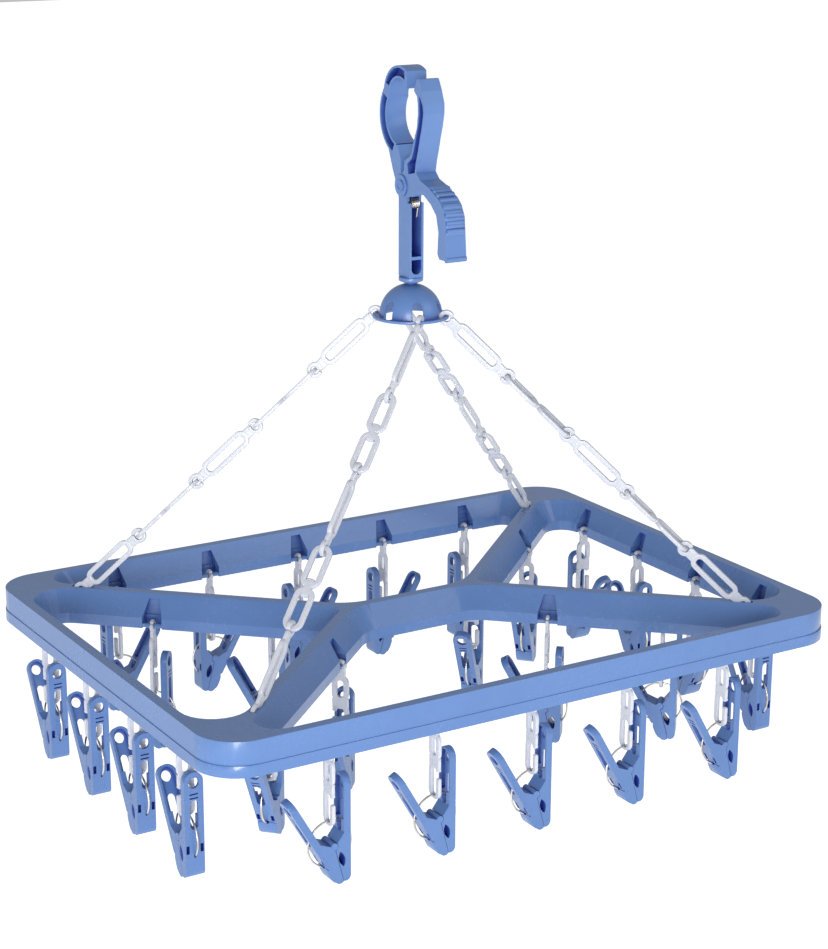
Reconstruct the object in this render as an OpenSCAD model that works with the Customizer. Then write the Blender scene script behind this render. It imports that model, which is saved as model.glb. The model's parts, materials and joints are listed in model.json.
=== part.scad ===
// Clip drying hanger: a rectangular frame with a crossed web, carried by four
// chains from a swivel dome under a spring clamp that grips a round rail.
// Origin on the axis of the clamped rail, above the middle of the frame, Z up.

/* [Frame] */
// Length of the frame, left to right
frame_l = 440; // [400:1:480]
// Width of the frame, front to back
frame_w = 324; // [300:1:360]
// Height of the upper shell
shell_h = 14; // [12:0.5:16]
// Height of the lower band
band_h = 7; // [6:0.5:9]
// Outside corner radius
corner_r = 27; // [20:1:35]
// Width of a rail at its top face
rail_top = 7; // [6:0.5:9]
// Width of a rail at its underside
rail_foot = 14; // [12:0.5:16]
// Width of the web at its top face
web_top = 6.5; // [5:0.5:8]
// Width of the web at its underside
web_foot = 25; // [20:0.5:28]
// Half length of the middle bar of the web
bar_half = 44.5; // [35:0.5:55]
// Rise of a web arm for each millimetre along the frame
arm_rise = 0.93; // [0.8:0.01:1]
// Wall of the hollow frame
wall = 1.6; // [1.2:0.1:2.5]
// Step of the band outside the shell
band_step = 0.5; // [0.3:0.1:1]

/* [Hanging] */
// Height of the frame top below the clamped rail axis
drop = 305; // [280:1:330]
// Rail radius the clamp closes on
pole_r = 18; // [16:0.5:20]
// Distance of the chain anchors from the middle, along the frame
anchor_x = 174.8; // [165:0.1:180]
// Distance of the chain anchors from the middle, across the frame
anchor_y = 121.2; // [115:0.1:126]
// Thickness of every flat plastic link
link_t = 2.4; // [2:0.1:3]
// Radius of the round bars the links hang on
bar_r = 1.5; // [1.2:0.1:1.8]
// Inner radius of a chain hook
chain_eye_r = 2.4; // [2.3:0.1:2.8]

/* [Dome and stem] */
// Radius of the dome
dome_r = 19.5; // [18:0.5:22]
// Radius of the dome flange
flange_r = 23.75; // [22:0.25:26]
// Height of the dome centre
dome_z = -122; // [-126:1:-118]
// Width of the clamp jaws
jaw_w = 14; // [12:0.5:16]
// Stem size along the clamped rail
stem_x = 10; // [9:0.5:12]
// Stem size across the clamped rail
stem_y = 13; // [11:0.5:15]
// Height of the jaw pivot
pivot_z = -41.5; // [-44:0.5:-40]

/* [Clips] */
// Width of a clip
clip_w = 12; // [10:0.5:14]
// Ear height above the fulcrum
ear_top = 42; // [38:0.5:46]
// Tip depth below the fulcrum
tip_low = 22.5; // [20:0.5:25]
// Radius of the ring spring
ring_r = 14; // [13:0.5:15]
// Wire radius of the ring spring
ring_wire = 0.6; // [0.5:0.05:0.8]
// Length of a clip link between the centres of its two eyes
link_len = 43.7; // [40:0.1:48]
// Angle between the two halves of a clip, halved
half_splay = 15; // [12:0.5:18]

/* [Hidden] */
$fn = 64;
eps = 0.01;
frame_z = -drop;
frame_h = shell_h + band_h;
parting_z = frame_z - shell_h;
arm_angle = atan(arm_rise);
in_x = frame_l / 2;
in_y = frame_w / 2;
hook_bar_z = 19.2;
hook_bar_in = 1.7;
eye_hang = 1.2;
clip_drop = hook_bar_z + link_len + eye_hang + ring_r;
lean = [sin(half_splay), -cos(half_splay)];
side = [cos(half_splay), sin(half_splay)];
front_xs = [-144, -74, -6.5, 63, 136.5];
back_xs = [-138, -69, 0, 69, 138];
side_ys = [-97.5, -32.5, 32.5, 97.5];
arm_along = [127, 54.3];
hook_off = web_foot / 2 - hook_bar_in;
corners = [[-1, -1], [1, -1], [1, 1], [-1, 1]];
dome_angles = [-108, -48, 72, 132];
chain_top_r = 22.95;
chain_top_z = -122.8;
chain_foot_z = frame_z - 2;
chain_n = 5;
corner_steps = 10;
rib = 8;
blue = [0.36, 0.49, 0.74];
white = [0.93, 0.95, 0.97];
silver = [0.72, 0.72, 0.7];
arm_start = 14;
arm_stop = 192;

// A station is the place of one clip: [x, y, turn of the hook bar, turn of the clip].
front_row = [for (x = front_xs) [x, -in_y + rail_foot - hook_bar_in, 0, 0]];
back_row = [for (x = back_xs) [x, in_y - rail_foot + hook_bar_in, 180, 180]];
left_row = [for (y = side_ys) [-in_x + rail_foot - hook_bar_in, y, -90, -90]];
right_turns = [-90, 90, -90, 90];
right_row = [for (i = [0:3]) [in_x - rail_foot + hook_bar_in, side_ys[i], 90, right_turns[i]]];
function arm_turn(c) = atan2(c.y * arm_rise, c.x);
// Arm stations sit on both sides of an arm: outer on the end-opening side, inner on the other.
function hand(c) = c.x * c.y;
function arm_spot(c, far) =
    let (t = arm_turn(c), s = (far == 0 ? -1 : 1) * hand(c), a = arm_along[far])
    [c.x * bar_half + a * cos(t) - s * hook_off * sin(t),
     a * sin(t) + s * hook_off * cos(t),
     s > 0 ? t : t + 180,
     c.x > 0 ? t : t + 180];
arm_row = [for (c = corners) for (far = [0, 1]) arm_spot(c, far)];
rows = [["front", front_row], ["back", back_row], ["left", left_row], ["right", right_row], ["arm", arm_row]];

// ---------- frame ----------

module rounded_block(l, w, h, r) {
    linear_extrude(h) rounded_area(l, w, r);
}

module rounded_area(l, w, r) {
    square([l - 2 * r, w], center = true);
    square([l, w - 2 * r], center = true);
    for (c = corners) {
        translate([c.x * (l / 2 - r), c.y * (w / 2 - r)]) circle(r);
    }
}

// Sharp corners of an end opening for a given rail and web width.
function end_points(rail, web) =
    let (xe = in_x - rail, ye = arm_rise * (xe - apex(web)))
    [[apex(web), 0], [xe, -ye], [xe, ye]];
function apex(web) = bar_half + web / 2 / sin(arm_angle);

// Sharp corners of a side opening for a given rail and web width.
function side_points(rail, web) =
    let (x0 = bar_half - web / 2 / sin(arm_angle), yt = in_y - rail, yb = web / 2,
         xt = x0 + yt / arm_rise, xb = x0 + yb / arm_rise)
    [[-xb, yb], [xb, yb], [xt, yt], [-xt, yt]];

function edge_normal(a, b) = let (d = (b - a) / norm(b - a)) [d.y, -d.x];
function corner_centre(p, i, r) =
    let (n = len(p), n1 = edge_normal(p[(i + n - 1) % n], p[i]), n2 = edge_normal(p[i], p[(i + 1) % n]))
    p[i] - r * (n1 + n2) / (1 + n1 * n2);

// A polygon, corners listed anticlockwise, with its own radius at each corner.
module filleted(p, radii) {
    n = len(p);
    polygon([for (i = [0:n - 1])
        let (c = corner_centre(p, i, radii[i]),
             n1 = edge_normal(p[(i + n - 1) % n], p[i]),
             n2 = edge_normal(p[i], p[(i + 1) % n]),
             from = atan2(n1.y, n1.x),
             turn = acos(n1 * n2))
        for (k = [0:corner_steps]) c + radii[i] * [cos(from + turn * k / corner_steps), sin(from + turn * k / corner_steps)]]);
}

module end_opening_foot() {
    filleted(end_points(rail_foot, web_foot), [5, 13, 13]);
}

module side_opening_foot() {
    filleted(side_points(rail_foot, web_foot), [25, 25, 8, 8]);
}

module openings_foot() {
    for (s = [0, 180]) {
        rotate(s) end_opening_foot();
        rotate(s) side_opening_foot();
    }
}

// The drafted openings of the upper shell, wider at the top.
module openings_shell() {
    for (s = [0, 180]) {
        rotate(s) hull() {
            translate([0, 0, parting_z - eps]) linear_extrude(eps) end_opening_foot();
            translate([0, 0, frame_z]) linear_extrude(eps)
                filleted(end_points(rail_top, web_top), [8, 21, 21]);
        }
        rotate(s) hull() {
            translate([0, 0, parting_z - eps]) linear_extrude(eps) side_opening_foot();
            translate([0, 0, frame_z]) linear_extrude(eps)
                filleted(side_points(rail_top, web_top), [35, 35, 14, 14]);
        }
    }
}

// Hollow of a rail: x across the rail from its outside, y down from the top face.
module rail_hollow(length) {
    slant = (rail_foot - rail_top) / shell_h;
    inset = wall * sqrt(1 + slant * slant);
    rotate([90, 0, 90]) translate([0, 0, -length / 2]) linear_extrude(length)
        polygon([[wall + band_step, -wall], [rail_top + slant * wall - inset, -wall],
                 [rail_foot - inset, -shell_h - eps], [wall + band_step, -shell_h - eps]]);
}

// Hollow of the web, from start to stop along its middle line.
module web_hollow(start, stop) {
    slant = (web_foot - web_top) / 2 / shell_h;
    inset = wall * sqrt(1 + slant * slant);
    high = web_top / 2 + slant * wall - inset;
    low = web_foot / 2 - inset;
    translate([start, 0, 0]) rotate([90, 0, 90]) linear_extrude(stop - start)
        polygon([[-high, -wall], [high, -wall], [low, -shell_h - eps], [-low, -shell_h - eps]]);
}

module along_arms() {
    for (c = corners) {
        translate([c.x * bar_half, 0, 0]) rotate(arm_turn(c)) children();
    }
}

// Scoop cut down the slanted wall to each hook bar: narrow at its top, wide at its foot.
module hook_scoop() {
    intersection() {
        rotate([90, 0, 0]) linear_extrude(20, center = true)
            polygon([[-3.5, -3], [3.5, -3], [6.5, -shell_h - eps], [-6.5, -shell_h - eps]]);
        rotate([90, 0, 90]) linear_extrude(20, center = true)
            polygon([[3, -2.9], [-6.4, -2.9], [-7, -shell_h - 2 * eps], [3, -shell_h - 2 * eps]]);
    }
}

// Block that stays solid behind and beside a scoop.
module scoop_back(low, high) {
    translate([-8.5, -8, low]) cube([17, 12, high - low]);
}

module at_stations(row, turn_index = 2) {
    for (s = row) {
        translate([s[0], s[1], frame_z]) rotate(s[turn_index]) children();
    }
}

// The same, counted from the frame's top face.
module at_frame(row) {
    for (s = row) {
        translate([s[0], s[1], 0]) rotate(s[2]) children();
    }
}

all_stations = concat(front_row, back_row, left_row, right_row, arm_row);
slot_w = 3.4;
slot_in = 7.6;
slot_out = 6;
anchor_along = (anchor_x - bar_half) * cos(arm_angle) + anchor_y * sin(arm_angle);

module frame_shell() {
    color(blue) {
        difference() {
            translate([0, 0, parting_z])
                rounded_block(frame_l - 2 * band_step, frame_w - 2 * band_step, shell_h, corner_r - band_step);
            openings_shell();
            difference() {
                translate([0, 0, frame_z]) {
                    for (s = [0, 180]) {
                        rotate(s) translate([0, -in_y, 0]) rail_hollow(frame_l - 60);
                        rotate(s + 90) translate([0, -in_x, 0]) rail_hollow(frame_w - 60);
                    }
                    web_hollow(-bar_half + rib, bar_half - rib);
                    along_arms() web_hollow(arm_start, arm_stop);
                }
                at_stations(all_stations) scoop_back(-shell_h - 1, -1);
            }
            translate([0, 0, frame_z]) along_arms()
                translate([anchor_along - slot_in, -slot_w / 2, -3]) cube([slot_in + slot_out, slot_w, 4]);
            at_stations(all_stations) hook_scoop();
        }
        translate([0, 0, frame_z]) along_arms() translate([anchor_along, 0, -2])
            rotate([90, 0, 0]) cylinder(r = bar_r, h = 7.4, center = true);
    }
}

module band_hollow(length, width) {
    translate([0, 0, wall]) linear_extrude(band_h) square([length, width], center = true);
}

module frame_band() {
    hollow_w = rail_foot - 2 * wall;
    notch = [13, 9, band_h + 1];
    color(blue) translate([0, 0, frame_z - frame_h]) {
        difference() {
            linear_extrude(band_h) difference() {
                rounded_area(frame_l, frame_w, corner_r);
                openings_foot();
            }
            difference() {
                union() {
                    for (s = [0, 180]) {
                        rotate(s) translate([0, -in_y + rail_foot / 2, 0]) band_hollow(frame_l - 60, hollow_w);
                        rotate(s + 90) translate([0, -in_x + rail_foot / 2, 0]) band_hollow(frame_w - 60, hollow_w);
                    }
                    band_hollow(2 * (bar_half - rib), web_foot - 2 * wall);
                    along_arms() translate([(arm_start + arm_stop) / 2, 0, 0])
                        band_hollow(arm_stop - arm_start, web_foot - 2 * wall);
                }
                translate([0, 0, frame_h]) at_frame(all_stations) scoop_back(-frame_h + 1, -shell_h + 1);
            }
            for (s = all_stations) {
                translate([s[0], s[1], -0.5]) rotate(s[2]) translate([0, -1.3, notch.z / 2]) cube(notch, center = true);
            }
        }
        for (s = all_stations) {
            translate([s[0], s[1], frame_h - hook_bar_z]) rotate(s[2])
                rotate([0, 90, 0]) cylinder(r = bar_r, h = 16, center = true);
        }
    }
}

// ---------- clip links ----------

// Flat link hanging from a round bar: an open hook at the origin, a slot, and a long lower eye
// open at one side, its foot link_len below.
module clip_link() {
    plate = 2.2;
    hook_r = 4;
    half_w = 5.5;
    slot_r = 2.2;
    foot_r = ring_wire + eye_hang;
    slot_z = [-18.4, -11.6];
    eye_z = [-link_len, -30];
    rotate([90, 0, 90]) translate([0, 0, -plate / 2]) linear_extrude(plate) difference() {
        union() {
            circle(hook_r);
            translate([-3, -8]) square([6, 6]);
            for (z = [-link_len + eye_hang, -10]) translate([0, z]) circle(half_w);
            translate([-half_w, -link_len + eye_hang]) square([2 * half_w, link_len - eye_hang - 10]);
        }
        circle(bar_r + 0.3);
        for (z = slot_z) translate([0, z]) circle(slot_r);
        translate([-slot_r, slot_z[0]]) square([2 * slot_r, slot_z[1] - slot_z[0]]);
        for (z = eye_z) translate([0, z]) circle(foot_r);
        translate([-foot_r, eye_z[0]]) square([2 * foot_r, eye_z[1] - eye_z[0]]);
        rotate(28) translate([0, -0.9]) square([6, 1.8]);
        translate([-6, -34.2]) square([6, 2.2]);
    }
}

// ---------- clips: x towards the upright half, z up, origin at the fulcrum ----------

out_face = 10.5;
in_face = 6.2;
gap = 0.15;

module half_profile(fulcrum_r, add) {
    tip = (tip_low + gap * side.y) / -lean.y;
    pad = 1;
    pad_r = 20;
    pad_z = -16.2;
    difference() {
        union() {
            polygon([gap * side, tip * lean + gap * side, [out_face, -tip_low], [out_face, ear_top],
                     [in_face, ear_top], [in_face, 7.5], [2.5, 2.6]]);
            if (add) circle(fulcrum_r);
            if (add) intersection() {
                translate([out_face + pad - pad_r, pad_z]) circle(pad_r);
                translate([out_face - 2, -tip_low]) square([2 + pad, 2 * (tip_low + pad_z)]);
            }
        }
        if (!add) circle(fulcrum_r);
        if (add) translate([out_face + 0.2, pad_z + 7.3]) circle(1);
        // Eased outer corner of the tip.
        polygon([[out_face - 2.4, -tip_low - 1], [out_face - 2.4, -tip_low], [out_face - 0.8, -tip_low + 1],
                 [out_face, -tip_low + 2.8], [out_face + 3, -tip_low + 8], [out_face + 3, -tip_low - 1]]);
        if (!add) translate(9.4 * lean + 2.4 * side) intersection() {
            translate(5 * side) circle(7);
            translate(-5 * side) circle(7);
        }
    }
}

module clip_half(fulcrum_r, add, groove_half, groove_gap) {
    skin = 1.8;
    flange = 1.5;
    ear_r = clip_w / 2;
    difference() {
        intersection() {
            rotate([90, 0, 0]) linear_extrude(clip_w, center = true) half_profile(fulcrum_r, add);
            rotate([90, 0, 90]) linear_extrude(3 * out_face, center = true) {
                translate([0, ear_top - ear_r]) circle(ear_r);
                translate([-ear_r, -tip_low - 1]) square([clip_w, ear_top - ear_r + tip_low + 1]);
            }
        }
        // Trough of the handle, open towards the other half.
        translate([-2, -ear_r + flange, 15]) cube([out_face - skin + 2, clip_w - 2 * flange, ear_top - ear_r - 15]);
        translate([-2, 0, ear_top - ear_r]) rotate([0, 90, 0]) cylinder(r = ear_r - flange, h = out_face - skin + 2);
        // Eye of the ear, finger slot and the small windows of the lower body.
        translate([0, 0, 35.4]) rotate([0, 90, 0]) cylinder(r = 3.25, h = 20);
        translate([5, -2.5, 9.5]) cube([10, 5, 13]);
        for (e = [9.5, 22.5]) translate([5, 0, e]) rotate([0, 90, 0]) cylinder(r = 2.5, h = 10);
        for (k = [-1, 1]) translate([out_face - 3, k * 4.4 - 1, -7.4]) cube([4, 2, 5]);
        for (z = [26.2, 28.6]) translate([out_face - 0.5, 0, z]) cube([1.2, 5.2, 0.8], center = true);
        // Groove for the ring spring.
        rotate([90, 0, 0]) linear_extrude(2 * groove_half, center = true) difference() {
            circle(ring_r + groove_gap);
            circle(ring_r - groove_gap);
        }
    }
}

module upright_half() {
    clip_half(2.5, false, ring_wire + 0.05, ring_wire + 0.05);
}

module oblique_half() {
    rotate([0, -half_splay, 0]) mirror([1, 0, 0]) rotate([0, half_splay, 0]) clip_half(2.2, true, 1.0, 1.0);
}

module ring_spring() {
    rotate([90, 0, 0]) rotate(-38) rotate_extrude(angle = 286) translate([ring_r, 0]) circle(ring_wire, $fn = 24);
}

module at_clips(row) {
    at_stations(row, 3) translate([0, 0, -clip_drop]) children();
}

// ---------- chains ----------

function anchor_point(i) = [corners[i].x * anchor_x, corners[i].y * anchor_y, chain_foot_z];
function dome_point(i) = [chain_top_r * cos(dome_angles[i]), chain_top_r * sin(dome_angles[i]), chain_top_z];

// Runs the children along chain i, once for each listed link, z up the chain from its lower joint.
module on_chain(i, which) {
    foot = anchor_point(i);
    run = dome_point(i) - foot;
    length = norm(run);
    polar = acos(run.z / length);
    heading = atan2(run.y, run.x);
    arm_heading = arm_turn(corners[i]) + 180;
    twist = atan2(cos(polar) * sin(arm_heading - heading), cos(arm_heading - heading));
    for (k = which) {
        translate(foot + run * k / chain_n) rotate([0, polar, heading]) rotate(twist) children();
    }
}

// S hook: a flat plate with an open eye at each end and one long window.
module hook_link(p) {
    eye_out = chain_eye_r + 2.3;
    window = p - 26;
    body_r = 5.2;
    window_r = 2.5;
    rotate([90, 0, 0]) linear_extrude(link_t, center = true) difference() {
        union() {
            circle(eye_out);
            translate([0, p]) circle(eye_out);
            translate([-3.2, 2]) square([6.4, p - 4]);
            translate([-body_r, 12]) square([2 * body_r, p - 24]);
            for (e = [12, p - 12]) translate([0, e]) circle(body_r);
        }
        circle(chain_eye_r);
        translate([0, p]) circle(chain_eye_r);
        translate([0, p / 2]) square([2 * window_r, window], center = true);
        for (e = [-1, 1]) translate([0, p / 2 + e * window / 2]) circle(window_r);
        rotate(40) translate([0, -1]) square([8, 2]);
        translate([0, p]) rotate(220) translate([0, -1]) square([8, 2]);
    }
}

// Double eye: two long loops joined by a neck.
module eye_link(p) {
    end_bar = 2.8;
    loop_r = 6;
    hole_r = loop_r - end_bar;
    rotate([0, -90, 0]) linear_extrude(link_t, center = true) difference() {
        union() {
            translate([0, -1.5]) square([p, 3]);
            for (e = [loop_r - end_bar / 2, p / 2 - 7, p / 2 + 7, p - loop_r + end_bar / 2])
                translate([e, 0]) circle(loop_r);
            for (e = [loop_r - end_bar / 2, p / 2 + 7])
                translate([e, -loop_r]) square([p / 2 - 7 - loop_r + end_bar / 2, 2 * loop_r]);
        }
        for (m = [0, 1]) translate([m * p, 0]) mirror([m, 0, 0]) {
            translate([loop_r - end_bar / 2, -hole_r]) square([p / 2 - 7 - loop_r + end_bar / 2, 2 * hole_r]);
            for (e = [loop_r - end_bar / 2, p / 2 - 7]) translate([e, 0]) circle(hole_r);
        }
    }
}

module chain_hooks(i) {
    p = norm(dome_point(i) - anchor_point(i)) / chain_n;
    color(white) on_chain(i, [0, 2, 4]) hook_link(p);
}

module chain_eyes(i) {
    p = norm(dome_point(i) - anchor_point(i)) / chain_n;
    color(white) on_chain(i, [1, 3]) eye_link(p);
}

// ---------- dome and swivel ----------

bolt_r = 3;
bolt_run = 0.06;
stem_foot = -98.2;

module dome() {
    skin = 1.6;
    slot = 7;
    slot_top = 7;
    color(blue) difference() {
        union() {
            intersection() {
                translate([0, 0, dome_z]) sphere(dome_r, $fn = 96);
                translate([-30, -30, dome_z]) cube([60, 60, 30]);
            }
            translate([0, 0, dome_z - skin]) cylinder(r = flange_r, h = skin);
        }
        intersection() {
            translate([0, 0, dome_z]) sphere(dome_r - skin, $fn = 96);
            translate([-30, -30, dome_z - 1]) cube([60, 60, 18]);
        }
        translate([0, 0, dome_z - 2]) cylinder(r = dome_r - skin, h = 2);
        translate([0, 0, dome_z]) cylinder(r = bolt_r + bolt_run, h = 30);
        for (k = [0:5]) rotate(-168 + 60 * k) {
            translate([10, -slot / 2, dome_z - 3]) cube([chain_top_r - 0.8 - 10, slot, slot_top + 3]);
            translate([10, 0, dome_z + slot_top]) rotate([0, 90, 0]) cylinder(r = slot / 2, h = chain_top_r - 10.8);
        }
    }
}

module swivel_bolt() {
    collar_h = 2.6;
    seat = dome_z + dome_r + 0.6;
    head_z = dome_z + 13;
    color(blue) {
        translate([0, 0, stem_foot - collar_h]) cylinder(r = 7.6, h = collar_h);
        translate([0, 0, seat]) cylinder(r = 5, h = stem_foot - seat - 1);
        translate([0, 0, head_z]) cylinder(r = bolt_r, h = stem_foot + 1.1 - head_z);
        translate([0, 0, head_z]) cylinder(r = 6, h = 2.5);
    }
}

// ---------- clamp: profiles are drawn as [y, z] and run along x ----------

module along_x(width) {
    rotate([90, 0, 90]) linear_extrude(width, center = true) children();
}

hook_centre = [3.8, 13];
hook_out = 17.2;
throat_centre = [3.7, 11.2];
throat_r = 11.4;
back_r = 26;
pivot = [0, pivot_z];
knuckle_r = 6.65;
disc_h = 0.8;
cheek_in = 5.4;
leg_top = [[4.66, -17.4], [12, -20], [15.4, -20.9], [13.2, -26.2], [10.4, -32.9], [7.5, -38.4], [6.5, -44],
           [6.5, -50], [-6.5, -50], [-6.5, -44], [-3, -40], [1.2, -33], [1, -26]];

module fixed_outline() {
    difference() {
        union() {
            intersection() {
                circle(back_r);
                polygon([[0, 0], [24, 40], [60, 60], [60, -60], [14.5, -40]]);
            }
            intersection() {
                translate(hook_centre) circle(hook_out);
                polygon([[-6.3, 10], [-4.9, 40], [40, 40], [40, 8]]);
            }
            polygon(leg_top);
            translate(pivot) circle(knuckle_r);
        }
        circle(pole_r);
        translate(throat_centre) circle(throat_r);
    }
}

// Side recess that leaves a rib along each edge of the fixed jaw.
module fixed_recess() {
    intersection() {
        difference() {
            circle(back_r - 1.5);
            circle(pole_r + 1.5);
        }
        polygon([[0, 0], [50, 28], [60, -30], [20, -40]]);
    }
    intersection() {
        difference() {
            translate(hook_centre) circle(hook_out - 1.4);
            translate(throat_centre) circle(throat_r + 1.4);
            circle(pole_r + 1.5);
        }
        polygon([[-3, 20], [-3, 40], [22, 40], [22, 20], [12, 16]]);
    }
}

module hook_stem() {
    web = 3;
    channel = 7;
    channel_deep = stem_y - 1;
    round_z = -92.6;
    color(blue) difference() {
        union() {
            along_x(jaw_w) fixed_outline();
            translate([-stem_x / 2, -stem_y / 2, stem_foot]) cube([stem_x, stem_y, -46 - stem_foot]);
        }
        for (s = [-1, 1]) {
            translate([s * (web / 2 + jaw_w / 2), 0, 0]) along_x(jaw_w) fixed_recess();
            translate([s * (stem_x / 2 + 0.1 + jaw_w / 2), 0, 0]) along_x(jaw_w) {
                translate(pivot) circle(knuckle_r + 0.35);
                translate([-12, -60]) square([24, 60 + pivot_z - 1]);
            }
        }
        // Channel in the front of the stem, with its cross web.
        translate([-channel / 2, -stem_y / 2 - 1, -85]) cube([channel, channel_deep, 36.4]);
        translate([-channel / 2, -stem_y / 2 - 1, round_z]) cube([channel, channel_deep, 5.6]);
        translate([0, -stem_y / 2 - 1, round_z]) rotate([-90, 0, 0]) cylinder(r = channel / 2, h = channel_deep);
        translate([-stem_x, -stem_y / 2 - 1, -52]) cube([2 * stem_x, 4, 10]);
        along_x(40) translate(pivot) circle(1.5 + 0.02);
        translate([0, 0, stem_foot - 1]) cylinder(r = bolt_r + 0.01, h = 2.2);
    }
}

jaw_in_pts = [[-17.4, 24.1], [-13.9, 17], [-17.5, 13.7], [-18.4, 9], [-18.6, 3], [-17, -4.5], [-14.2, -12.5],
              [-12, -19], [-10.3, -22.2], [-3.5, -25.9], [-2.6, -32], [2, -36]];
jaw_out_pts = [[-19.6, 24], [-23.2, 17.3], [-26.2, 9.7], [-26.2, 4], [-24.5, -3.7], [-22.1, -11.5], [-20.4, -18],
               [-18, -25.8], [-16.9, -31.7], [-21.2, -35.7], [-31.3, -38.9], [-42.1, -44.3], [-46.4, -48.3],
               [-49.7, -54.6], [-50.6, -64.8], [-52, -80]];
trigger_in_pts = [[-43.6, -80], [-41.5, -77], [-42.4, -64], [-39.8, -54.3], [-33.8, -48.6], [-24.4, -43.4],
                  [-8, -47.5], [0, -48.15]];

module jaw_outline() {
    difference() {
        union() {
            polygon(concat(jaw_in_pts, [for (i = [len(trigger_in_pts) - 1:-1:0]) trigger_in_pts[i]],
                [for (i = [len(jaw_out_pts) - 1:-1:0]) jaw_out_pts[i]]));
            translate(pivot) circle(knuckle_r);
        }
        circle(pole_r);
    }
}

// Side recess between the two ribs of the moving jaw.
module jaw_recess() {
    polygon([[-20, 14.5], [-23.9, 9], [-24.6, 4], [-23, -3.9], [-20.5, -12], [-18.8, -18.5], [-16.4, -26],
             [-15.2, -32], [-8, -33.6], [-6.6, -27.6], [-11.6, -24], [-13.6, -19.6], [-16, -12.5],
             [-18.9, -3.6], [-20.3, 4], [-20, 9]]);
}

// Space under the shell of the trigger, between its two side walls.
module trigger_room() {
    polygon([[-45.4, -82], [-46.8, -72], [-47.6, -64], [-46.8, -56], [-43.6, -50.4], [-40, -46.6], [-30.6, -41.4],
             [-20, -38.2], [-13, -35.4], [-9, -34.2], [-6, -34.2], [4, -34], [10, -42], [10, -60], [-30, -82]]);
}

module hook_jaw() {
    web = 3;
    ridges = [[-33, -39.8], [-38, -42.5], [-42.3, -45.4], [-45.6, -49], [-48, -53], [-49.4, -57.6], [-50.1, -62.4]];
    lip = [-51, -79.4];
    color(blue) difference() {
        union() {
            along_x(jaw_w) jaw_outline();
            for (p = ridges) along_x(12.6) translate(p) circle(1.5, $fn = 24);
            along_x(jaw_w) translate(lip) circle(1.7);
            along_x(jaw_w + 2 * disc_h) translate(pivot) circle(knuckle_r);
        }
        for (s = [-1, 1]) translate([s * (web / 2 + jaw_w / 2), 0, 0]) along_x(jaw_w) jaw_recess();
        along_x(2 * cheek_in) trigger_room();
        along_x(2 * cheek_in) translate(pivot) circle(knuckle_r + 0.4);
        along_x(40) translate(pivot) circle(1.5 + 0.06);
    }
}

module hook_pivot_pin() {
    head = 0.9;
    play = 0.1;
    face = jaw_w / 2 + disc_h;
    color(blue) {
        along_x(2 * (face + 2 * play)) translate(pivot) circle(1.5);
        for (s = [-1, 1]) difference() {
            translate([s * (face + play + head / 2), 0, 0]) along_x(head) translate(pivot) circle(3.5);
            translate([s * (face + play + head), 0, 0]) along_x(head) translate(pivot) circle(2.2);
        }
    }
}

module hook_spring() {
    turns = 6;
    coil_r = 2.9;
    wire = 0.56;
    color(silver) translate([0, -2.9, -52.5]) {
        for (k = [0:turns - 1]) translate([(k - (turns - 1) / 2) * 1.05, 0, 0])
            rotate([0, 90, 0]) rotate_extrude() translate([coil_r, 0]) circle(wire, $fn = 24);
        translate([(turns - 1) / 2 * 1.05, coil_r, -7]) cylinder(r = wire, h = 7, $fn = 24);
    }
}

hook_stem();
hook_jaw();
hook_pivot_pin();
hook_spring();
swivel_bolt();
dome();
frame_shell();
frame_band();
for (i = [1:4]) {
    chain_hooks(i - 1);
    chain_eyes(i - 1);
}
for (r = rows) {
    color(white) at_stations(r[1]) translate([0, 0, -hook_bar_z]) clip_link();
    color(blue) at_clips(r[1]) upright_half();
    color(silver) at_clips(r[1]) ring_spring();
    for (i = [1:len(r[1])]) {
        color(blue) at_clips([r[1][i - 1]]) oblique_half();
    }
}
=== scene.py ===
"""Looks of a clip drying hanger: blue moulded frame, clamp and clips, white links, wire springs."""

import json

import bpy
import numpy as np
from mathutils import Matrix, Vector


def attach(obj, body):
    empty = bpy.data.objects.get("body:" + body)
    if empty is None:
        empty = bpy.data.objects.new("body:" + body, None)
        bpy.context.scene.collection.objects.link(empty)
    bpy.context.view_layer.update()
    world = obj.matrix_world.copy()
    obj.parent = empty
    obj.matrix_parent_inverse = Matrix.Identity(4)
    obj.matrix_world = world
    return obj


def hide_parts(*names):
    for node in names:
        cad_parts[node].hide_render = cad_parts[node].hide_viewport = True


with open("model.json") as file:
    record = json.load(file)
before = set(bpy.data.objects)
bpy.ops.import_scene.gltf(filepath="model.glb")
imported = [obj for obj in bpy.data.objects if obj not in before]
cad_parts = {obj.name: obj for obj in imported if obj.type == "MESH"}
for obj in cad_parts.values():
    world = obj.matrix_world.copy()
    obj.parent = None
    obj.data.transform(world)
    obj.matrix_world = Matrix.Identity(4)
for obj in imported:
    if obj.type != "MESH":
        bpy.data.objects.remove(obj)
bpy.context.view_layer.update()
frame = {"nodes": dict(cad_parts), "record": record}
nodes = frame["nodes"]

MM = 0.001

# ---------- places, in millimetres ----------

# heights: top face of the frame, then down to the hook bars, the link's lower eye and the clip's fulcrum
FRAME_TOP = -305.0
BAR_DROP = 19.2
LINK_LEN = 43.7
EYE_HANG = 1.2
RING_R = 14.0
CLIP_DROP = BAR_DROP + LINK_LEN + EYE_HANG + RING_R

# half sizes of the frame, width of its rails at the foot, and how deep a hook bar lies in a rail
HALF_X, HALF_Y, FOOT, BAR_IN = 220.0, 162.0, 14.0, 1.7
FRONT_X = [-144.0, -74.0, -6.5, 63.0, 136.5]
BACK_X = [-138.0, -69.0, 0.0, 69.0, 138.0]
ROW_Y = [-97.5, -32.5, 32.5, 97.5]

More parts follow.
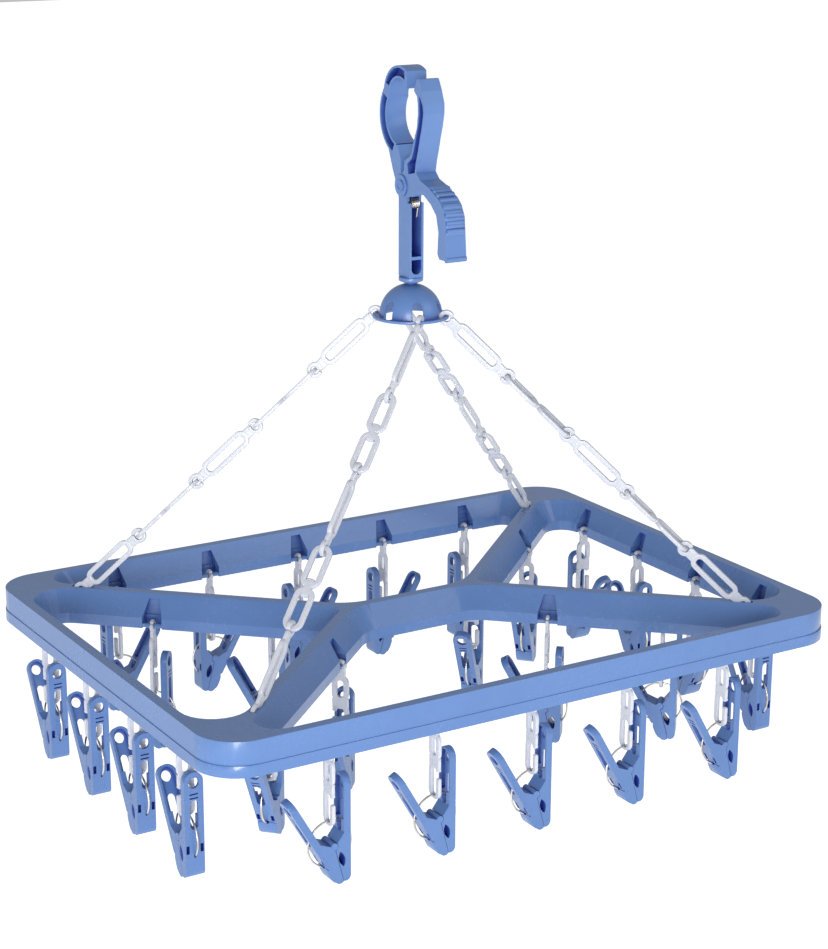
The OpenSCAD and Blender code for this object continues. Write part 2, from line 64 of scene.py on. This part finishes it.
# web: half length of its middle bar, slope of its arms, half width of an arm, clip places along an arm
BAR_HALF, RISE, ARM_HALF_W = 44.5, 0.93, 12.5
HOOK_OFF = ARM_HALF_W - BAR_IN
ARM_NEAR, ARM_FAR = 54.3, 127.0
CORNERS = [(-1, -1), (1, -1), (1, 1), (-1, 1)]


def arm_spot(cx, cy, inner):
    """Place of a clip on a web arm: along the arm's middle line, then sideways to its hook bar.
    Gives x, y, the link's turn and the clip's turn, in degrees."""
    t = np.arctan2(cy * RISE, cx)
    s = (1 if inner else -1) * cx * cy
    a = ARM_NEAR if inner else ARM_FAR
    x = cx * BAR_HALF + a * np.cos(t) - s * HOOK_OFF * np.sin(t)
    y = a * np.sin(t) + s * HOOK_OFF * np.cos(t)
    deg = np.degrees(t)
    return (x, y, deg if s > 0 else deg + 180, deg if cx > 0 else deg + 180)


ROWS = {
    "front": [(x, -HALF_Y + FOOT - BAR_IN, 0, 0) for x in FRONT_X],
    "back": [(x, HALF_Y - FOOT + BAR_IN, 180, 180) for x in BACK_X],
    "left": [(-HALF_X + FOOT - BAR_IN, y, -90, -90) for y in ROW_Y],
    "right": [(HALF_X - FOOT + BAR_IN, y, 90, t) for y, t in zip(ROW_Y, (-90, 90, -90, 90))],
    "arm": [arm_spot(cx, cy, inner) for cx, cy in CORNERS for inner in (False, True)],
}
ROW_BODY = {k: k + "_row" for k in ("front", "back", "left", "right")} | {"arm": "frame"}

# chains: from an anchor slot near each corner of the frame up to a slot in the dome
DOME_ANGLES = [-108.0, -48.0, 72.0, 132.0]
DOME_SLOT_R, DOME_SLOT_Z = 22.95, -122.8
ANCHOR, ANCHOR_DROP = (174.8, 121.2), 2.0
CHAIN_LINKS = 5


# ---------- mesh surfaces ----------

def mesh_object(name, verts, quads, caps=()):
    """Puts whole arrays of corners (millimetres) and faces into a smooth-shaded mesh at the origin."""
    faces = [tuple(q) for q in quads.tolist()] + [tuple(c) for c in caps]
    data = bpy.data.meshes.new(name)
    data.from_pydata((verts * MM).tolist(), [], faces)
    data.update()
    data.polygons.foreach_set("use_smooth", np.ones(len(data.polygons), dtype=bool))
    piece = bpy.data.objects.new(name, data)
    bpy.context.scene.collection.objects.link(piece)
    return piece


def grid_faces(nu, nv, closed_u, closed_v):
    """Quads of a grid of nu by nv points: corner (i, j) to (i+1, j+1), wrapping where closed."""
    iu = np.arange(nu if closed_u else nu - 1)
    jv = np.arange(nv if closed_v else nv - 1)
    i, j = np.meshgrid(iu, jv, indexing="ij")
    i2, j2 = (i + 1) % nu, (j + 1) % nv
    return np.stack([i * nv + j, i2 * nv + j, i2 * nv + j2, i * nv + j2], -1).reshape(-1, 4)


# powers of a section's outline: a circle, a soft bar, a flat plate with small edges
ROUND, SOFT, FLAT = 2.0, 6.0, 9.0


def soft_section(width, thick, n=20, power=4.0):
    """Superellipse: half sizes times sign(cos t) |cos t|^(2/power), the same with sin, once round."""
    t = np.linspace(0, 2 * np.pi, n, endpoint=False)
    c, s = np.cos(t), np.sin(t)
    a = width / 2 * np.sign(c) * np.abs(c) ** (2 / power)
    b = thick / 2 * np.sign(s) * np.abs(s) ** (2 / power)
    return np.stack([a, b], -1)


# quarter round that closes an open end: its rings, its reach in half thicknesses, the size of its tip
END_RINGS, END_REACH, END_TIP = 4, 0.9, 0.02


def carried(path, section, closed, normal=(0.0, 0.0, 1.0), width=None):
    """Section carried along a plane path: path point + a * (normal x tangent) + b * normal.
    Open ends close in a quarter round: rings step out by r sin t while the section shrinks by cos t."""
    path = np.asarray(path, float)
    n3 = np.asarray(normal, float)
    if closed:
        tan = np.roll(path, -1, 0) - np.roll(path, 1, 0)
    else:
        tan = np.gradient(path, axis=0)
    tan /= np.linalg.norm(tan, axis=1)[:, None]
    scale = np.ones(len(path)) if width is None else np.asarray(width, float)
    grow = np.ones(len(path))
    if not closed:
        r = section[:, 1].max() * END_REACH
        q = np.linspace(np.pi / 2, 0, END_RINGS + 1)[:-1]
        head = path[0] - np.outer(np.sin(q) * r, tan[0])
        tail = path[-1] + np.outer(np.sin(q[::-1]) * r, tan[-1])
        path = np.vstack([head, path, tail])
        shrink = np.maximum(np.cos(q), END_TIP)
        grow = np.concatenate([shrink, grow, shrink[::-1]])
        scale = np.concatenate([np.full(END_RINGS, scale[0]), scale, np.full(END_RINGS, scale[-1])])
        tan = np.vstack([np.repeat(tan[:1], END_RINGS, 0), tan, np.repeat(tan[-1:], END_RINGS, 0)])
    side = np.cross(n3, tan)
    a = section[None, :, 0, None] * (scale * grow)[:, None, None]
    b = section[None, :, 1, None] * grow[:, None, None]
    pts = path[:, None, :] + a * side[:, None, :] + b * n3
    nu, nv = pts.shape[:2]
    quads = grid_faces(nu, nv, closed, True)
    caps = [] if closed else [list(range(nv))[::-1], list(range((nu - 1) * nv, nu * nv))]
    return pts.reshape(-1, 3), quads, caps


def joined(parts):
    """Several (corners, quads, caps) made one, with the face numbers moved on."""
    verts, quads, caps, at = [], [], [], 0
    for v, q, c in parts:
        verts.append(v)
        quads.append(q + at)
        caps += [[k + at for k in cap] for cap in c]
        at += len(v)
    return np.vstack(verts), np.vstack(quads), caps


def placed(part, spots):
    """Copies of one part: corners times a 3 by 3 turn, plus a shift, for every spot."""
    v, q, c = part
    return joined([(v @ turn.T + shift, q, c) for turn, shift in spots])


def turn_z(deg):
    """Matrix of a turn about the upright axis, in degrees."""
    a = np.radians(deg)
    return np.array([[np.cos(a), -np.sin(a), 0], [np.sin(a), np.cos(a), 0], [0, 0, 1.0]])


def turn_y(a):
    """Matrix of a turn about the second axis, in radians."""
    return np.array([[np.cos(a), 0, np.sin(a)], [0, 1.0, 0], [-np.sin(a), 0, np.cos(a)]])


def stadium(half_w, half_l, mid=(0.0, 0.0), n=14):
    """Closed path: two half rounds of radius half_w joined by straight runs, long along the second axis."""
    t = np.linspace(0, np.pi, n)
    top = np.stack([half_w * np.cos(t), half_l + half_w * np.sin(t)], -1)
    run = np.linspace(half_l, -half_l, 8)[1:-1]
    left = np.stack([np.full(len(run), -half_w), run], -1)
    low = -top
    right = -left
    return np.vstack([top, left, low, right]) + np.asarray(mid)


def arc(radius, start, stop, mid=(0.0, 0.0), n=36):
    """Open path: circle of the radius from the start angle to the stop angle, in degrees."""
    t = np.radians(np.linspace(start, stop, n))
    return np.stack([radius * np.cos(t), radius * np.sin(t)], -1) + np.asarray(mid)


def flat(path):
    """A path drawn in two axes laid in the x, y plane."""
    p = np.asarray(path, float)
    return np.column_stack([p, np.zeros(len(p))])


def stood(part, across):
    """Plane part stood up: its second axis becomes z, and its first x (across='y') or y (across='x')."""
    v, q, c = part
    if across == "y":
        return np.stack([v[:, 0], -v[:, 2], v[:, 1]], -1), q, c
    return np.stack([v[:, 2], v[:, 0], v[:, 1]], -1), q, c


# ---------- materials ----------

def group(name, ins, outs):
    """A shader node group with named sockets; returns it with its input and output nodes."""
    g = bpy.data.node_groups.new(name, "ShaderNodeTree")
    for n, kind, value in ins:
        s = g.interface.new_socket(n, in_out="INPUT", socket_type=kind)
        if value is not None:
            s.default_value = value
    for n, kind in outs:
        g.interface.new_socket(n, in_out="OUTPUT", socket_type=kind)
    return g, g.nodes.new("NodeGroupInput"), g.nodes.new("NodeGroupOutput")


def wire(tree, a, b):
    """Links one socket to another."""
    tree.links.new(a, b)


def noise(tree, vector, scale, detail):
    """Noise texture over the vector; returns its value."""
    n = tree.nodes.new("ShaderNodeTexNoise")
    n.inputs["Scale"].default_value = scale
    n.inputs["Detail"].default_value = detail
    n.inputs["Roughness"].default_value = 0.55
    wire(tree, vector, n.inputs["Vector"])
    return n.outputs["Fac"]


def ranged(tree, value, lo, hi, out_lo, out_hi):
    """Value moved from one range to another; returns the result."""
    n = tree.nodes.new("ShaderNodeMapRange")
    for k, v in (("From Min", lo), ("From Max", hi), ("To Min", out_lo), ("To Max", out_hi)):
        n.inputs[k].default_value = v
    wire(tree, value, n.inputs["Value"])
    return n.outputs["Result"]


def math_node(tree, op, a, b):
    """One sum or product of two sockets."""
    n = tree.nodes.new("ShaderNodeMath")
    n.operation = op
    for i, v in enumerate((a, b)):
        if isinstance(v, float):
            n.inputs[i].default_value = v
        else:
            wire(tree, v, n.inputs[i])
    return n.outputs[0]


def mixed(tree, share, low, high):
    """Colour mixed from low to high by the share; returns the result."""
    mix = tree.nodes.new("ShaderNodeMix")
    mix.data_type = "RGBA"
    wire(tree, share, mix.inputs[0])
    wire(tree, low, mix.inputs[6])
    wire(tree, high, mix.inputs[7])
    return mix.outputs[2]


def grained(tree, height, strength, depth):
    """Normal of a fine bump of the height."""
    bump = tree.nodes.new("ShaderNodeBump")
    bump.inputs["Strength"].default_value = strength
    bump.inputs["Distance"].default_value = depth
    wire(tree, height, bump.inputs["Height"])
    return bump.outputs["Normal"]


def moulded_group():
    """Moulded plastic: slow flow-mark clouding, painted shade (a darker colour mixed in where the object's
    own ambient occlusion finds closed recesses), and fine grain in gloss and height."""
    g, i, o = group(
        "moulded plastic",
        [("Colour", "NodeSocketColor", (0.2, 0.3, 0.6, 1)),
         ("Deep colour", "NodeSocketColor", (0.1, 0.2, 0.5, 1)),
         ("Gloss low", "NodeSocketFloat", 0.25),
         ("Gloss high", "NodeSocketFloat", 0.4),
         ("Grain size", "NodeSocketFloat", 900.0),
         # the next two sockets paint shade into recesses: the shade's colour and how much of it is mixed in
         ("Recess colour", "NodeSocketColor", (0.012, 0.028, 0.25, 1)),
         ("Recess", "NodeSocketFloat", 1.0)],
        [("Colour", "NodeSocketColor"), ("Roughness", "NodeSocketFloat"), ("Normal", "NodeSocketVector")])
    t = g.nodes.new("ShaderNodeTexCoord")
    cloud = noise(g, t.outputs["Object"], 22.0, 4.0)
    speck = noise(g, t.outputs["Object"], 260.0, 2.0)
    fine = g.nodes.new("ShaderNodeTexNoise")
    fine.inputs["Detail"].default_value = 2.0
    wire(g, t.outputs["Object"], fine.inputs["Vector"])
    wire(g, i.outputs["Grain size"], fine.inputs["Scale"])
    clouded = mixed(g, ranged(g, cloud, 0.35, 0.7, 0.0, 1.0), i.outputs["Deep colour"], i.outputs["Colour"])
    # painted shade: the object's own ambient occlusion turns recessed places towards the painted shade colour
    closed = g.nodes.new("ShaderNodeAmbientOcclusion")
    closed.samples = 8
    closed.only_local = True
    closed.inputs["Distance"].default_value = 0.009
    painted_shade_share = math_node(g, "MULTIPLY", ranged(g, closed.outputs["AO"], 0.3, 0.92, 1.0, 0.0), i.outputs["Recess"])
    wire(g, mixed(g, painted_shade_share, clouded, i.outputs["Recess colour"]), o.inputs["Colour"])
    rough = g.nodes.new("ShaderNodeMapRange")
    half_cloud = math_node(g, "MULTIPLY", cloud, 0.5)
    half_speck = math_node(g, "MULTIPLY", speck, 0.5)
    wire(g, math_node(g, "ADD", half_cloud, half_speck), rough.inputs["Value"])
    rough.inputs["From Min"].default_value = 0.35
    rough.inputs["From Max"].default_value = 0.65
    wire(g, i.outputs["Gloss low"], rough.inputs["To Min"])
    wire(g, i.outputs["Gloss high"], rough.inputs["To Max"])
    wire(g, rough.outputs["Result"], o.inputs["Roughness"])
    wire(g, grained(g, fine.outputs["Fac"], 0.03, 0.0001), o.inputs["Normal"])
    return g


def drawn_group():
    """Drawn wire: long fine lines and small tarnish patches in colour and gloss."""
    g, i, o = group(
        "drawn wire",
        [("Bright", "NodeSocketColor", (0.7, 0.68, 0.64, 1)),
         ("Dull", "NodeSocketColor", (0.4, 0.34, 0.26, 1)),
         ("Gloss low", "NodeSocketFloat", 0.18),
         ("Gloss high", "NodeSocketFloat", 0.4)],
        [("Colour", "NodeSocketColor"), ("Roughness", "NodeSocketFloat"), ("Normal", "NodeSocketVector")])
    t = g.nodes.new("ShaderNodeTexCoord")
    patch = noise(g, t.outputs["Object"], 140.0, 4.0)
    line = noise(g, t.outputs["Object"], 1600.0, 2.0)
    tarnished = mixed(g, ranged(g, patch, 0.45, 0.7, 0.0, 1.0), i.outputs["Bright"], i.outputs["Dull"])
    wire(g, tarnished, o.inputs["Colour"])
    rough = g.nodes.new("ShaderNodeMapRange")
    wire(g, line, rough.inputs["Value"])
    wire(g, i.outputs["Gloss low"], rough.inputs["To Min"])
    wire(g, i.outputs["Gloss high"], rough.inputs["To Max"])
    wire(g, rough.outputs["Result"], o.inputs["Roughness"])
    wire(g, grained(g, line, 0.08, 0.0002), o.inputs["Normal"])
    return g


MOULDED = moulded_group()
DRAWN = drawn_group()


def material(name, effect, values, **shader):
    """A Principled material fed by one effect group; constants go on the shader's own sockets."""
    m = bpy.data.materials.new(name)
    m.use_nodes = True
    tree = m.node_tree
    p = tree.nodes["Principled BSDF"]
    e = tree.nodes.new("ShaderNodeGroup")
    e.node_tree = effect
    for k, v in values.items():
        e.inputs[k].default_value = v
    wire(tree, e.outputs["Colour"], p.inputs["Base Color"])
    wire(tree, e.outputs["Roughness"], p.inputs["Roughness"])
    wire(tree, e.outputs["Normal"], p.inputs["Normal"])
    for k, v in shader.items():
        p.inputs[k.replace("_", " ")].default_value = v
    return m


# the blue plastics keep the group's default painted shade in recesses: a dark navy, mixed in at full amount
frame_blue = material("frame blue plastic", MOULDED, {
    "Colour": (0.095, 0.190, 0.430, 1), "Deep colour": (0.086, 0.176, 0.406, 1),
    "Gloss low": 0.20, "Gloss high": 0.30, "Grain size": 1100.0}, Specular_IOR_Level=0.5)
clamp_blue = material("clamp blue plastic", MOULDED, {
    "Colour": (0.098, 0.192, 0.430, 1), "Deep colour": (0.087, 0.175, 0.402, 1),
    "Gloss low": 0.28, "Gloss high": 0.42, "Grain size": 1300.0}, Specular_IOR_Level=0.5)
clip_blue = material("clip blue plastic", MOULDED, {
    "Colour": (0.088, 0.176, 0.400, 1), "Deep colour": (0.075, 0.156, 0.366, 1),
    "Gloss low": 0.24, "Gloss high": 0.40, "Grain size": 1500.0}, Specular_IOR_Level=0.5)
link_white = material("link white plastic", MOULDED, {
    "Colour": (0.53, 0.55, 0.60, 1), "Deep colour": (0.48, 0.50, 0.57, 1),
    # painted shade in the links' recesses: a grey-blue, mixed in at half amount
    "Gloss low": 0.22, "Gloss high": 0.36, "Grain size": 1500.0,
    "Recess colour": (0.42, 0.45, 0.62, 1), "Recess": 0.5}, Specular_IOR_Level=0.5)
wire_steel = material("spring wire", DRAWN, {}, Metallic=1.0)

SLOT_MATERIAL = {"frame_blue": frame_blue, "clamp_blue": clamp_blue, "clip_blue": clip_blue,
                 "link_white": link_white, "spring_wire": wire_steel}


def use(piece, mat):
    """Gives a piece this one material."""
    piece.data.materials.clear()
    piece.data.materials.append(mat)


def soften(piece, width, segments):
    """Merged corners, flat faces made one, and small rounded edges of the width, in millimetres."""
    weld = piece.modifiers.new("merged corners", "WELD")
    weld.merge_threshold = 0.000002
    planar = piece.modifiers.new("flat faces made one", "DECIMATE")
    planar.decimate_type = "DISSOLVE"
    planar.angle_limit = np.radians(0.8)
    bevel = piece.modifiers.new("moulded edge", "BEVEL")
    bevel.width = width * MM
    bevel.segments = segments
    bevel.limit_method = "ANGLE"
    bevel.angle_limit = np.radians(32)
    bevel.use_clamp_overlap = True
    bevel.harden_normals = True


# ---------- carried-over CAD nodes ----------

SLOTS = {s["node"]: s["material_slot"] for s in frame["record"]["subparts"]}
for name, o in nodes.items():
    mat = SLOT_MATERIAL[SLOTS[name]]
    if o.data.materials:
        for k in range(len(o.data.materials)):
            o.data.materials[k] = mat
        for s in o.material_slots:
            s.material = mat
    else:
        o.data.materials.append(mat)


# ---------- white links ----------

def clip_link():
    """Flat link of a clip: open hook on the bar, neck, slotted loop, bridge, long lower eye open at one side.
    The eye's foot thins by 0.4 sin^2 along its half round, where the ring spring sits."""
    thick, web_thick, eye_r = 2.2, 2.1, 4.0
    plate = soft_section(3.3, thick, 28, FLAT)
    bar = soft_section(2.9, thick, 28, FLAT)
    low = -LINK_LEN + 0.95
    foot = arc(eye_r, 180, 360, (0, low), 19)
    lower_eye = np.vstack([[(-eye_r, -34.6), (-eye_r, -37), (-eye_r, -40)], foot,
                           [(eye_r, -40), (eye_r, -37), (eye_r, -33.5)], arc(3.9, 0, 168, (0, -30), 16)])
    thin = 1 - 0.40 * np.sin(np.linspace(0, np.pi, 19)) ** 2
    widths = np.concatenate([np.ones(3), thin, np.ones(19)])
    parts = [
        carried(flat(arc(2.9, 52, 372)), soft_section(2.3, thick), False),
        carried(flat(stadium(3.75, 3.4, (0, -15))), plate, True),
        carried(flat(lower_eye), bar, False, width=widths),
        carried(flat([(0, -2.8), (0, -5), (0, -8)]), soft_section(6.4, web_thick, 28, FLAT), False),
        carried(flat([(0, -21.6), (0, -24), (0, -27.4)]), soft_section(10.4, web_thick, 28, FLAT), False),
    ]
    return stood(joined(parts), "x")


LINK_TURN, CLIP_TURN = 2, 3


def station_spots(row, z, turn):
    """Turn and shift of every station of a row, at one height; turn picks one of a station's angles."""
    return [(turn_z(s[turn]), np.array([s[0], s[1], z])) for s in row]


for row, stations in ROWS.items():
    spots = station_spots(stations, FRAME_TOP - BAR_DROP, LINK_TURN)
    piece = mesh_object(row + "_link_loops", *placed(clip_link(), spots))
    use(piece, link_white)
    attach(piece, ROW_BODY[row])
    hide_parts(row + "_links")


# ---------- ring springs ----------

def ring_spring():
    """Round wire bent to an open ring about the fulcrum, from -38 to 248 degrees."""
    bent = flat(arc(RING_R, -38, 248, n=72))
    return stood(carried(bent, soft_section(1.2, 1.2, 12, ROUND), False), "y")


for row, stations in ROWS.items():
    spots = station_spots(stations, FRAME_TOP - CLIP_DROP, CLIP_TURN)
    piece = mesh_object(row + "_ring_wires", *placed(ring_spring(), spots))
    use(piece, wire_steel)
    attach(piece, ROW_BODY[row])
    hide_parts(row + "_ring_springs")


def clamp_spring():
    """Helix about a level axis: x = pitch t / 2 pi, y and z on a circle of the coil radius, with a straight
    leg down at each end."""
    coil_r, pitch, turns, wire_w = 2.9, 1.12, 5.25, 1.12
    middle = (0, -2.9, -52.5)
    t = np.linspace(-np.pi / 2, 2 * np.pi * turns, 150)
    coil = np.stack([pitch * (t / (2 * np.pi) - turns / 2), coil_r * np.cos(t), -coil_r * np.sin(t)], -1)
    end = coil[-1] + np.outer(np.linspace(0.8, 6, 6), (0, 0.25, -1.0))
    leg = coil[0] + np.outer(np.linspace(6, 0.8, 6), (0, 0.6, -0.8))
    path = np.vstack([leg, coil, end]) + middle
    return carried(path, soft_section(wire_w, wire_w, 12, ROUND), False, (1.0, 0.0, 0.0))


piece = mesh_object("clamp_spring_coil", *clamp_spring())
use(piece, wire_steel)
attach(piece, "hook")
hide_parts("hook_spring")


# ---------- trigger ribs ----------

def trigger_ribs():
    """Round bars laid across the outer curve of the trigger: straight level paths between round ends."""
    bar_w, half_l, steps = 3.5, 5.1, 9
    spots = [(-31.4, -39.4), (-35.2, -41.1), (-38.9, -42.9), (-42.2, -45.3), (-44.9, -48.4),
             (-47.0, -51.8), (-48.5, -55.6), (-49.3, -59.6), (-49.8, -63.7)]
    level = np.linspace(-half_l, half_l, steps)
    paths = [np.column_stack([level, np.full(steps, y), np.full(steps, z)]) for y, z in spots]
    return joined([carried(path, soft_section(bar_w, bar_w, 20, ROUND), False) for path in paths])


piece = mesh_object("trigger_ribs", *trigger_ribs())
use(piece, clamp_blue)
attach(piece, "clamp_jaw")


# ---------- chains ----------

def chain_frame(i):
    """Foot, step, turn and link pitch of chain i. After the turn z runs up the chain, and the chain's plane
    is twisted to lie across the anchor slot."""
    cx, cy = CORNERS[i]
    foot = np.array([cx * ANCHOR[0], cy * ANCHOR[1], FRAME_TOP - ANCHOR_DROP])
    a = np.radians(DOME_ANGLES[i])
    run = np.array([DOME_SLOT_R * np.cos(a), DOME_SLOT_R * np.sin(a), DOME_SLOT_Z]) - foot
    length = np.linalg.norm(run)
    polar = np.arccos(run[2] / length)
    heading = np.arctan2(run[1], run[0])
    arm = np.arctan2(cy * RISE, cx) + np.pi
    twist = np.arctan2(np.cos(polar) * np.sin(arm - heading), np.cos(arm - heading))
    turn = turn_z(np.degrees(heading)) @ turn_y(polar) @ turn_z(np.degrees(twist))
    return foot, run / CHAIN_LINKS, turn, length / CHAIN_LINKS


def hook_link(p):
    """S hook of pitch p: an open eye at each end, opposite ways, and one long loop between two necks."""
    eye_r, loop_r, thick = 3.7, 4.0, 2.6
    eye = soft_section(2.7, thick, 24, SOFT)
    neck = soft_section(6.8, 2.5, 24, SOFT)
    low_neck = np.array([(0, 3.4), (0, 6), (0, 10)])
    parts = [
        carried(flat(arc(eye_r, 60, 382)), eye, False),
        carried(flat(arc(eye_r, 240, 562, (0, p))), eye, False),
        carried(flat(stadium(loop_r, p / 2 - 13, (0, p / 2))), soft_section(3.2, thick, 24, SOFT), True),
        carried(flat(low_neck), neck, False),
        carried(flat((0, p) - low_neck), neck, False),
    ]
    return stood(joined(parts), "y")


def eye_link(p):
    """Double eye of pitch p: two long loops joined by a neck."""
    radius, thick = 4.6, 2.6
    loop = soft_section(3.2, thick, 24, SOFT)
    neck = soft_section(5.2, thick, 24, SOFT)
    half = (p / 2 - 6 - radius) / 2
    parts = [
        carried(flat(stadium(radius, half, (0, radius + half))), loop, True),
        carried(flat(stadium(radius, half, (0, p - radius - half))), loop, True),
        carried(flat([(0, p / 2 - 5), (0, p / 2), (0, p / 2 + 5)]), neck, False),
    ]
    return stood(joined(parts), "x")


for i in range(4):
    foot, step, turn, p = chain_frame(i)
    spots = [(turn, foot + step * k) for k in range(CHAIN_LINKS)]
    hooks = mesh_object(f"chain_{i + 1}_hook_loops", *placed(hook_link(p), spots[0::2]))
    eyes = mesh_object(f"chain_{i + 1}_eye_loops", *placed(eye_link(p), spots[1::2]))
    for piece, node_name in ((hooks, f"chain_{i + 1}_hooks"), (eyes, f"chain_{i + 1}_eyes")):
        use(piece, link_white)
        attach(piece, "frame")
        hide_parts(node_name)


# ---------- softened CAD nodes ----------

# width of the rounded edge in millimetres, and its steps
EDGE = {"frame_shell": (0.7, 3), "frame_band": (0.5, 2), "dome": (0.5, 2),
        "hook_stem": (0.6, 3), "hook_jaw": (0.6, 3), "swivel_bolt": (0.4, 2), "hook_pivot_pin": (0.25, 2)}
CLIP_EDGE = (0.35, 2)
for name, o in nodes.items():
    if name in EDGE:
        soften(o, *EDGE[name])
    elif "_clip_" in name:
        soften(o, *CLIP_EDGE)


# ---------- floor, light, camera ----------

WHITE = (1, 1, 1, 1)
FLOOR_Z, FLOOR_HALF = -640.0, 9000.0
GLOW = 0.52


def plain(name, values):
    """A Principled material with constant values."""
    m = bpy.data.materials.new(name)
    m.use_nodes = True
    for k, v in values.items():
        m.node_tree.nodes["Principled BSDF"].inputs[k].default_value = v
    return m


floor_corners = np.array([[sx * FLOOR_HALF, sy * FLOOR_HALF, FLOOR_Z] for sx, sy in CORNERS])
floor = mesh_object("floor", floor_corners, np.array([[0, 1, 2, 3]]))
floor_paint = plain("pale floor", {
    "Base Color": (0.98, 0.98, 0.98, 1), "Roughness": 0.9,
    "Emission Color": WHITE, "Emission Strength": GLOW})
use(floor, floor_paint)

world = bpy.data.worlds.new("studio")
bpy.context.scene.world = world
world.use_nodes = True
world.node_tree.nodes["Background"].inputs[0].default_value = WHITE
world.node_tree.nodes["Background"].inputs[1].default_value = GLOW


def area_light(name, place, aim, size, power):
    """A round area light at the place, in metres, turned to the aim."""
    light = bpy.data.lights.new(name, "AREA")
    light.shape = "DISK"
    light.size = size
    light.energy = power
    o = bpy.data.objects.new(name, light)
    o.location = place
    o.rotation_euler = (Vector(aim) - Vector(place)).to_track_quat("-Z", "Y").to_euler()
    bpy.context.scene.collection.objects.link(o)


MIDDLE = (0, 0, -0.25)
area_light("key", (-1.5, -2.0, -0.1), MIDDLE, 1.0, 46)
area_light("fill", (1.6, -1.9, 0.9), MIDDLE, 1.4, 9)

cam = bpy.data.cameras.new("camera")
cam.lens = 84.40
cam.sensor_width = 36
eye = bpy.data.objects.new("camera", cam)

# the camera's place in metres, its level axes, and a small roll about its line of sight
place = (-0.7042, -1.1513, 0.1681)
level_right = Vector((0.8521, -0.5233, 0))
level_up = Vector((0.1465, 0.2385, 0.9600))
ahead = Vector((0.5024, 0.8181, -0.2799))
roll = np.radians(0.2424)
right = (level_right * np.cos(roll) + level_up * np.sin(roll)).normalized()
back = -ahead.normalized()
up = back.cross(right).normalized()
right = up.cross(back)
eye.matrix_world = Matrix.Translation(place) @ Matrix((right, up, back)).transposed().to_4x4()
bpy.context.scene.collection.objects.link(eye)
bpy.context.scene.camera = eye
bpy.context.scene.view_settings.view_transform = "Standard"
